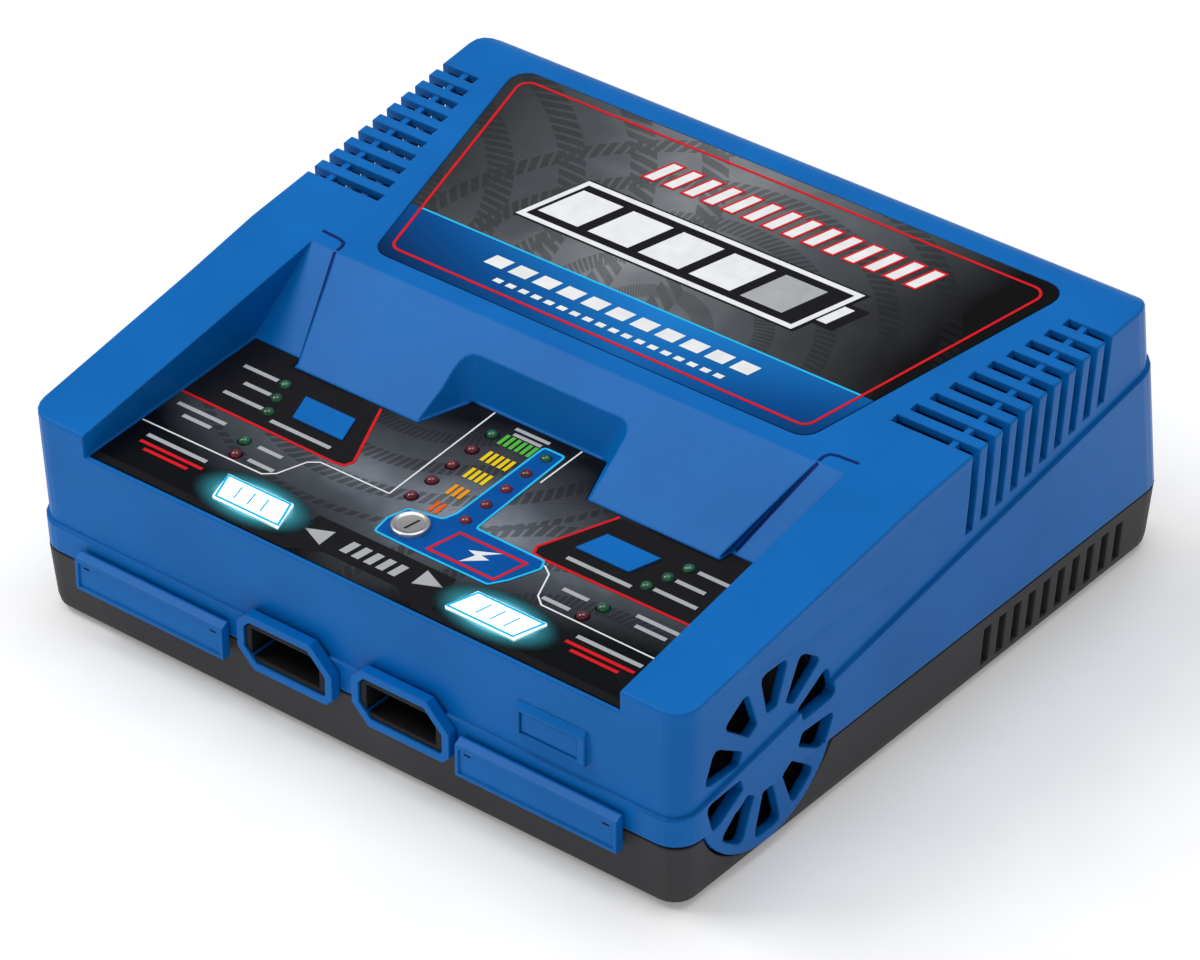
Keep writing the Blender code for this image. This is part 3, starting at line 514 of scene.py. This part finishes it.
def leaning_bar(x, y, length, width, lean=0.0):
    """A short bar across the sheet, `length` deep in y, whose back end leans by `lean`."""
    return [(x - width / 2, y - length / 2), (x + width / 2, y - length / 2),
            (x + width / 2 + lean, y + length / 2), (x - width / 2 + lean, y + length / 2)]


def label_art():
    """The label's red border, its cyan rule and the artwork between them."""
    place = plane_matrix(DECK_ORIGIN, DECK_TILT, PRINT_LIFT)
    high = plane_matrix(DECK_ORIGIN, DECK_TILT, 0.06)
    front, back = -6.7, 74.1
    front_half, back_half = 66.6, 86.2

    def half_at(y, inset):
        return front_half + (back_half - front_half) * (y - front) / (back - front) - inset

    inset = 3.4
    low_y, high_y = front + inset, back - inset
    low_half, high_half = half_at(low_y, inset), half_at(high_y, inset)
    corners = [(-low_half, low_y), (low_half, low_y), (high_half, high_y), (-high_half, high_y)]
    outline = round_corners(corners, 3.2)
    sheet_mesh("label_red_rule", stroke(outline, 0.75, closed=True), high, "red_ink")
    split_y = 13.4
    across = [(-half_at(split_y, 3.6), split_y), (half_at(split_y, 3.6), split_y)]
    sheet_mesh("label_cyan_rule", stroke(across, 0.55), place, "cyan_ink_painted_glow")
    charge_motif(place, high)


def charge_motif(place, high):
    """A big leaning cell with five charge bars, and rows of plain bars around it."""
    lean = 0.35

    def slanted(x0, x1, y0, y1):
        return [(x0, y0), (x1, y0), (x1 + (y1 - y0) * lean, y1), (x0 + (y1 - y0) * lean, y1)]

    cell = slanted(-46.0, 38.0, 25.5, 44.5)
    sheet_mesh("label_cell_shadow", [slanted(-47.4, 39.4, 24.2, 45.8), slanted(38.0, 47.0, 29.6, 40.4)],
               place, "dark_ink")
    sheet_mesh("label_cell_body", stroke(cell, 1.5, closed=True) + [slanted(41.4, 44.4, 31.0, 39.0)], high,
               "white_ink")
    bars = []
    for index in range(5):
        x = -43.0 + index * 15.8
        bars.append(slanted(x, x + 12.6, 28.6, 41.4))
    sheet_mesh("label_charge_bars", bars[:4], high, "white_ink")
    sheet_mesh("label_charge_bar_last", bars[4:], high, "silver_ink")
    stripes = [slanted(-30.0 + index * 6.2, -26.4 + index * 6.2, 54.0, 63.0) for index in range(14)]
    sheet_mesh("label_stripe_row", stripes, high, "white_ink")
    edges = [quad for stripe in stripes for quad in stroke(stripe, 0.6, closed=True)]
    sheet_mesh("label_stripe_edges", edges, plane_matrix(DECK_ORIGIN, DECK_TILT, 0.09), "red_ink")
    dashes = [leaning_bar(-38.0 + index * 7.6, 6.6, 4.0, 5.6, 1.2) for index in range(11)]
    sheet_mesh("label_band_dashes", dashes, high, "white_ink")
    dots = [leaning_bar(-33.0 + index * 4.0, 0.6, 1.5, 2.4, 0.4) for index in range(18)]
    sheet_mesh("label_band_dots", dots, high, "white_ink")


def mirrored(points, side):
    return [(side * x, y) for x, y in points]


def overlay_art():
    """The control film's dark zones, red and white rules and arrows."""
    place = plane_matrix(PANEL_ORIGIN, PANEL_TILT, PRINT_LIFT)
    high = plane_matrix(PANEL_ORIGIN, PANEL_TILT, 0.07)
    black_zones, red_rules, white_rules, dark_fronts = [], [], [], []
    edge_x, fine_rule = 81.2, 0.42
    for side in (-1, 1):
        zone = [(edge_x, -62.0), (edge_x, -35.2), (66.9, -35.2), (66.5, -39.6), (36.7, -39.6), (28.0, -60.4),
                (29.6, -62.6)]
        black_zones.append(mirrored(zone, side))
        red = [(36.9, -39.5), (28.2, -59.8), (29.2, -62.2), (31.8, -62.7), (edge_x, -62.2)]
        red_rules += stroke(mirrored(red, side), 0.75)
        white = [(edge_x, -76.7), (43.0, -76.4), (40.2, -74.2), (37.2, -66.4), (34.6, -64.6), (13.2, -64.4)]
        white_rules += stroke(mirrored(white, side), fine_rule)
        front = [(edge_x, -95.0), (19.5, -95.0), (11.0, -90.8), (0.02, -90.8), (0.02, -80.6), (21.0, -80.6),
                 (23.6, -92.6), (edge_x, -92.6)]
        dark_fronts.append(mirrored(front, side))
    white_rules += stroke([(-13.2, -64.4), (-13.5, -24.4)], fine_rule)
    white_rules += stroke([(13.2, -40.0), (13.5, -24.4)], fine_rule)
    sheet_mesh("overlay_black_zones", black_zones, place, "dark_ink")
    sheet_mesh("overlay_front_zones", dark_fronts, place, "dark_ink")
    sheet_mesh("overlay_red_rules", red_rules, high, "red_ink")
    sheet_mesh("overlay_white_rules", white_rules, high, "white_ink")
    arrows = [[(-20.6, -86.4), (-13.6, -83.4), (-13.6, -89.4)], [(20.4, -84.9), (13.4, -87.9), (13.4, -81.9)]]
    sheet_mesh("overlay_arrows", arrows, high, "silver_ink")


def caption_bars():
    """Plain bars where a real film carries its captions."""
    high = plane_matrix(PANEL_ORIGIN, PANEL_TILT, 0.07)
    white, red = [], []
    for side in (-1, 1):
        for x, y, width in ((70.4, -45.4, 11.0), (66.8, -50.9, 8.5), (66.6, -56.4, 12.5), (46.0, -58.9, 19.0),
                            (71.0, -66.5, 15.5), (69.8, -69.7, 9.0), (47.0, -68.7, 7.5), (45.4, -74.0, 8.0),
                            (66.4, -80.6, 19.0)):
            white.append(leaning_bar(side * x, y, 1.25, width))
        for y, width in ((-83.4, 20.0), (-85.5, 14.0)):
            red.append(leaning_bar(side * 65.8, y, 1.0, width))
    for y, width in ((-26.6, 10.5), (-28.6, 8.5)):
        white.append(leaning_bar(0.0, y, 1.1, width))
    white += [leaning_bar(x, -86.0, 4.6, 2.2, 0.8) for x in (-7.4, -3.7, 0.0, 3.7, 7.4)]
    sheet_mesh("overlay_caption_bars", white, high, "silver_ink")
    sheet_mesh("overlay_red_bars", red, high, "red_ink")


def cover_marks():
    """Two small finger slots near the upper corners of each port cover, drawn as near-black blocks: painted
    shade in the slots' hollows.
    """
    for word in ("left", "right"):
        low, high = (Vector(corner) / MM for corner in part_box(f"port_cover_{word}"))
        face_y = low.y + 0.43
        for end, x in (("a", low.x + 3.4), ("b", high.x - 3.4)):
            slot_low, slot_high = (x - 1.0, face_y, high.z - 3.5), (x + 1.0, face_y + 0.3, high.z - 3.0)
            # each slot is a near-black block: painted shade
            block(f"cover_slot_{word}_{end}", slot_low, slot_high, "slot_shade_paint",
                  f"port_cover_{word}", "blue_plastic", 0.05)


def groove_shade_strokes():
    """Painted shade: dark strokes where the fine groove leaves the top of the brow pad's edge and hooks
    outwards over the deck, and along the pad's edge.
    """
    on_deck = plane_matrix(DECK_ORIGIN, DECK_TILT, PRINT_LIFT)
    on_bay = plane_matrix(BAY_ORIGIN, BAY_TILT, PRINT_LIFT)
    for word, side in (("left", -1), ("right", 1)):
        hook = mirrored([(74.2, -11.9), (74.2, -9.9), (74.9, -8.5), (76.6, -7.9), (82.6, -7.5)], side)
        # painted shade strokes, on the deck and on the brow
        sheet_mesh(f"brow_groove_shade_{word}", stroke(hook, 0.9), on_deck, "groove_shade_paint")
        edge = mirrored([(67.1, -33.9), (74.4, -12.4)], side)
        sheet_mesh(f"brow_edge_shade_{word}", stroke(edge, 0.9), on_bay, "groove_shade_paint")


def charge_zone_art():
    """The blue zone round the right-hand lamps and the metal key, and the charge level bars."""
    place = plane_matrix(PANEL_ORIGIN, PANEL_TILT, ZONE_LIFT)
    high = plane_matrix(PANEL_ORIGIN, PANEL_TILT, ZONE_TOP_LIFT)
    zone = [(5.2, -28.6), (11.6, -28.6), (12.2, -62.8), (33.2, -63.2), (34.4, -66.0), (31.0, -73.6),
            (28.0, -77.8), (4.6, -77.8), (-6.6, -77.6), (-7.4, -72.0), (-5.6, -66.4), (3.6, -64.6),
            (4.9, -61.0)]
    zone = round_corners(zone, 0.9, 2)
    sheet_mesh("charge_zone_fill", [zone], place, "blue_ink")
    sheet_mesh("charge_zone_rule", stroke(zone, 0.6, closed=True), high, "cyan_ink_painted_glow")
    badge = [(8.0, -75.6), (28.0, -75.6), (30.4, -66.4), (10.4, -66.4)]
    sheet_mesh("charge_zone_badge", stroke(badge, 0.8, closed=True), high, "red_ink")
    bolt = [(17.0, -75.0), (22.6, -70.6), (20.0, -70.2), (23.6, -66.8), (16.2, -70.4), (18.8, -71.0)]
    sheet_mesh("charge_zone_bolt", [bolt], high, "white_ink")
    levels = (("green_ink", 6), ("yellow_ink", 5), ("yellow_ink", 4), ("amber_ink", 3), ("orange_ink", 2))
    for row, ((ink, count), y) in enumerate(zip(levels, STATUS_Y)):
        bars = [leaning_bar((index - (count - 1) / 2) * 1.75 - 0.4, y, 4.3, 1.05) for index in range(count)]
        sheet_mesh(f"charge_level_{row + 1}", bars, high, ink)


def key_art():
    """Rims, inner marks and the glow round the two lit keys."""
    glow_place = plane_matrix(PANEL_ORIGIN, PANEL_TILT, 0.05)
    for word, side in START_KEYS:
        centre = Vector(box_middle(f"start_key_{word}")) / MM
        # painted light: an emissive sheet laid over the film round each lit key
        glow = sheet_mesh(f"start_glow_{word}", [ellipse(18.4, 9.4)],
                          lambda x, y, up: Vector((x, y, up)) * MM, "glow", thickness=0.03)
        glow.matrix_world = (Matrix.Translation(glow_place(centre.x, centre.y, 0.08))
                             @ Matrix.Rotation(PANEL_TILT, 4, "X"))
        top = plane_matrix(PANEL_ORIGIN, PANEL_TILT, KEY_TOP_LIFT)
        rim = mirrored([(25.5, -90.4), (46.0, -90.4), (48.9, -81.6), (28.4, -81.6)], side)
        sheet_mesh(f"start_key_rim_{word}", stroke(shrink(rim, 0.45), 0.7, closed=True), top, "cyan_ink_painted_glow",
                   body=f"start_key_{word}")
        marks = [leaning_bar(side * 37.2 + offset, -86.0, 4.6, 0.5, side * 1.2)
                 for offset in (-4.2, 0.0, 4.2)]
        sheet_mesh(f"start_key_marks_{word}", marks, top, "cyan_ink_painted_glow",
                   body=f"start_key_{word}")


def shrink(points, amount):
    """Moves each corner towards the middle by the same amount in x and in y."""
    centre = sum((Vector(point) for point in points), Vector((0.0, 0.0))) / len(points)
    made = []
    for point in points:
        away = Vector(point) - centre
        made.append((point[0] - math.copysign(amount, away.x), point[1] - math.copysign(amount, away.y)))
    return made


def ellipse(half_x, half_y, count=48):
    return [(half_x * math.cos(2 * math.pi * i / count), half_y * math.sin(2 * math.pi * i / count))
            for i in range(count)]


# ---------------------------------------------------------------- solid details

def turned(name, profile, axis_matrix, look, body, replaces, count=32):
    """A solid of revolution: profile is (radius, height) in mm from the axis point upwards."""
    bm = bmesh.new()
    rows = []
    for radius, height in profile:
        if radius == 0.0:
            rows.append([bm.verts.new((0.0, 0.0, height * MM))])
            continue
        rows.append([bm.verts.new((radius * MM * math.cos(2 * math.pi * i / count),
                                   radius * MM * math.sin(2 * math.pi * i / count), height * MM))
                     for i in range(count)])
    for low, high in zip(rows, rows[1:]):
        for index in range(count):
            after = (index + 1) % count
            if len(low) == 1:
                bm.faces.new((low[0], high[after], high[index]))
            elif len(high) == 1:
                bm.faces.new((low[index], low[after], high[0]))
            else:
                bm.faces.new((low[index], low[after], high[after], high[index]))
    bm.transform(axis_matrix)
    bmesh.ops.recalc_face_normals(bm, faces=bm.faces)
    made = piece(name, bm, look, 32)
    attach(made, body)
    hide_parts(replaces)


def panel_axis(x, y):
    origin = plane_matrix(PANEL_ORIGIN, PANEL_TILT, 0.0)(x, y)
    return Matrix.Translation(origin) @ Matrix.Rotation(PANEL_TILT, 4, "X")


def lamps():
    """Domed lamps, each standing for its plain solid."""
    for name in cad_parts:
        if "_lamp_" not in name:
            continue
        x, y = (value / MM for value in box_middle(name))
        profile = [(0.0, SEAT_DEPTH), (LAMP_RADIUS, SEAT_DEPTH), (LAMP_RADIUS, 0.0)]
        profile += [(LAMP_RADIUS * math.cos(angle), LAMP_DOME * math.sin(angle))
                    for angle in (math.radians(12 * step) for step in range(1, 8))]
        profile.append((0.0, LAMP_DOME))
        look = lamp_look(name)
        turned(f"{name}_dome", profile, panel_axis(x, y), look, "housing", name)


def round_key():
    """Metal key with a rolled edge, a dished face and a slot line drawn in dark ink as painted shade."""
    x, y = (value / MM for value in box_middle("round_key"))
    profile = [(0.0, SEAT_DEPTH), (4.7, SEAT_DEPTH), (4.9, -2.4), (4.9, 0.7), (4.75, 1.1), (4.35, 1.3),
               (3.9, 1.25), (3.55, 1.0), (3.3, 0.95), (0.0, 0.95)]
    turned("round_key_cap", profile, panel_axis(x, y), "steel", "round_key", "round_key", 48)
    face = plane_matrix(PANEL_ORIGIN, PANEL_TILT, 0.96)
    # painted shade: a flat dark sheet stands for the shade in the key's slot
    sheet_mesh("round_key_slot_shade", [leaning_bar(x, y, 4.4, 0.55, 1.0)], face, "dark_ink", body="round_key")


def capacitors():
    """Cans with a crimped shoulder and a rounded top, all in the sleeve material."""
    for index in (1, 2):
        low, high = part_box(f"capacitor_{index}")
        radius = (high[0] - low[0]) / 2 / MM
        height = (high[2] - low[2]) / MM
        axis = upright_axis(f"capacitor_{index}")
        profile = [(0.0, 0.0), (radius, 0.0), (radius, 2.6), (radius - 0.7, 3.2), (radius, 3.9),
                   (radius, height - 1.2), (radius - 0.4, height - 0.5), (radius - 1.6, height - 0.1),
                   (0.0, height - 0.1)]
        turned(f"capacitor_can_{index}", profile, axis, "sleeve", "housing", f"capacitor_{index}",
               40)


def screws_and_feet():
    """Screws with a recessed head and rings for a thread, and feet with a rounded rim."""
    crest, root, pitch, turns = 1.45, 1.15, 0.6, 24
    for index in range(1, 5):
        axis = upright_axis(f"housing_screw_{index}")
        profile = [(0.0, 0.9), (0.9, 0.9), (1.3, 0.05), (2.7, 0.0), (3.0, 0.35), (3.0, 1.0), (crest, 1.6)]
        for step in range(turns):
            profile += [(crest, 1.8 + step * pitch), (root, 2.1 + step * pitch)]
        profile += [(1.1, 16.2), (0.0, 16.5)]
        turned(f"screw_{index}", profile, axis, "steel", "housing", f"housing_screw_{index}", 20)
        axis = upright_axis(f"foot_{index}")
        profile = [(0.0, 0.0), (4.6, 0.0), (5.2, 0.2), (5.5, 0.7), (5.5, 1.7), (0.0, 1.7)]
        turned(f"foot_pad_{index}", profile, axis, "rubber", "housing", f"foot_{index}", 32)


def block(name, low, high, look, body, slot, bevel):
    """A small moulded block between two corners in mm, with rounded edges."""
    bm = bmesh.new()
    bmesh.ops.create_cube(bm, size=1.0)
    size = Vector(high) - Vector(low)
    middle = (Vector(high) + Vector(low)) / 2
    bm.transform(Matrix.Translation(middle * MM) @ Matrix.Diagonal((*(size * MM), 1.0)))
    bmesh.ops.bevel(bm, geom=bm.edges[:], offset=bevel * MM, segments=3, affect="EDGES", profile=0.5)
    made = piece(name, bm, look, 35)
    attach(made, body)


# ---------------------------------------------------------------- stage, light and camera

def stage():
    floor_mesh = bpy.data.meshes.new("floor")
    corners = [(x * FLOOR_HALF, y * FLOOR_HALF, 0) for x, y in ((-1, -1), (1, -1), (1, 1), (-1, 1))]
    floor_mesh.from_pydata(corners, [], [(0, 1, 2, 3)])
    floor = link_object("floor", floor_mesh)
    made, tree, shader = new_material("pale_floor", 0.7)
    speckle = noise(tree, object_coordinates(tree), 30.0, 2.0)
    tree.links.new(ramp(tree, speckle, ((0.3, (0.86, 0.86, 0.865)), (0.7, (0.90, 0.90, 0.90)))),
                   shader.inputs["Base Color"])
    shader.inputs["Emission Color"].default_value = (1.0, 1.0, 1.0, 1.0)
    shader.inputs["Emission Strength"].default_value = FLOOR_LIFT
    floor_mesh.materials.append(made)


def area_light(name, place, target, size, power):
    data = bpy.data.lights.new(name, "AREA")
    data.shape = "RECTANGLE"
    data.size, data.size_y = size
    data.energy = power
    made = link_object(name, data)
    made.location = place
    made.rotation_euler = (Vector(target) - Vector(place)).to_track_quat("-Z", "Y").to_euler()


def lights():
    world = bpy.data.worlds.new("studio")
    world.use_nodes = True
    background = world.node_tree.nodes["Background"]
    background.inputs["Color"].default_value = (1.0, 1.0, 1.0, 1.0)
    background.inputs["Strength"].default_value = WORLD_STRENGTH
    bpy.context.scene.world = world
    bpy.context.scene.view_settings.view_transform = "Standard"
    area_light("key_light", (-1.03, -0.60, 1.60), (0, -0.03, 0.06), (0.9, 0.9), 15.0)
    area_light("top_light", (0.1, 0.25, 2.20), (0, 0, 0.05), (1.4, 1.4), 17.0)


def camera():
    data = bpy.data.cameras.new("camera")
    made = link_object("camera", data)
    away = Vector((math.sin(CAMERA_AZIMUTH) * math.cos(CAMERA_ELEVATION),
                   -math.cos(CAMERA_AZIMUTH) * math.cos(CAMERA_ELEVATION), math.sin(CAMERA_ELEVATION)))
    made.location = CAMERA_PLACE
    made.rotation_euler = (-away).to_track_quat("-Z", "Y").to_euler()
    data.sensor_width = 36.0
    data.lens = CAMERA_LENS
    data.clip_start = 0.01
    bpy.context.scene.camera = made


dress_nodes()
label_art()
overlay_art()
charge_zone_art()
caption_bars()
groove_shade_strokes()
key_art()
cover_marks()
lamps()
round_key()
capacitors()
screws_and_feet()
stage()
lights()
camera()
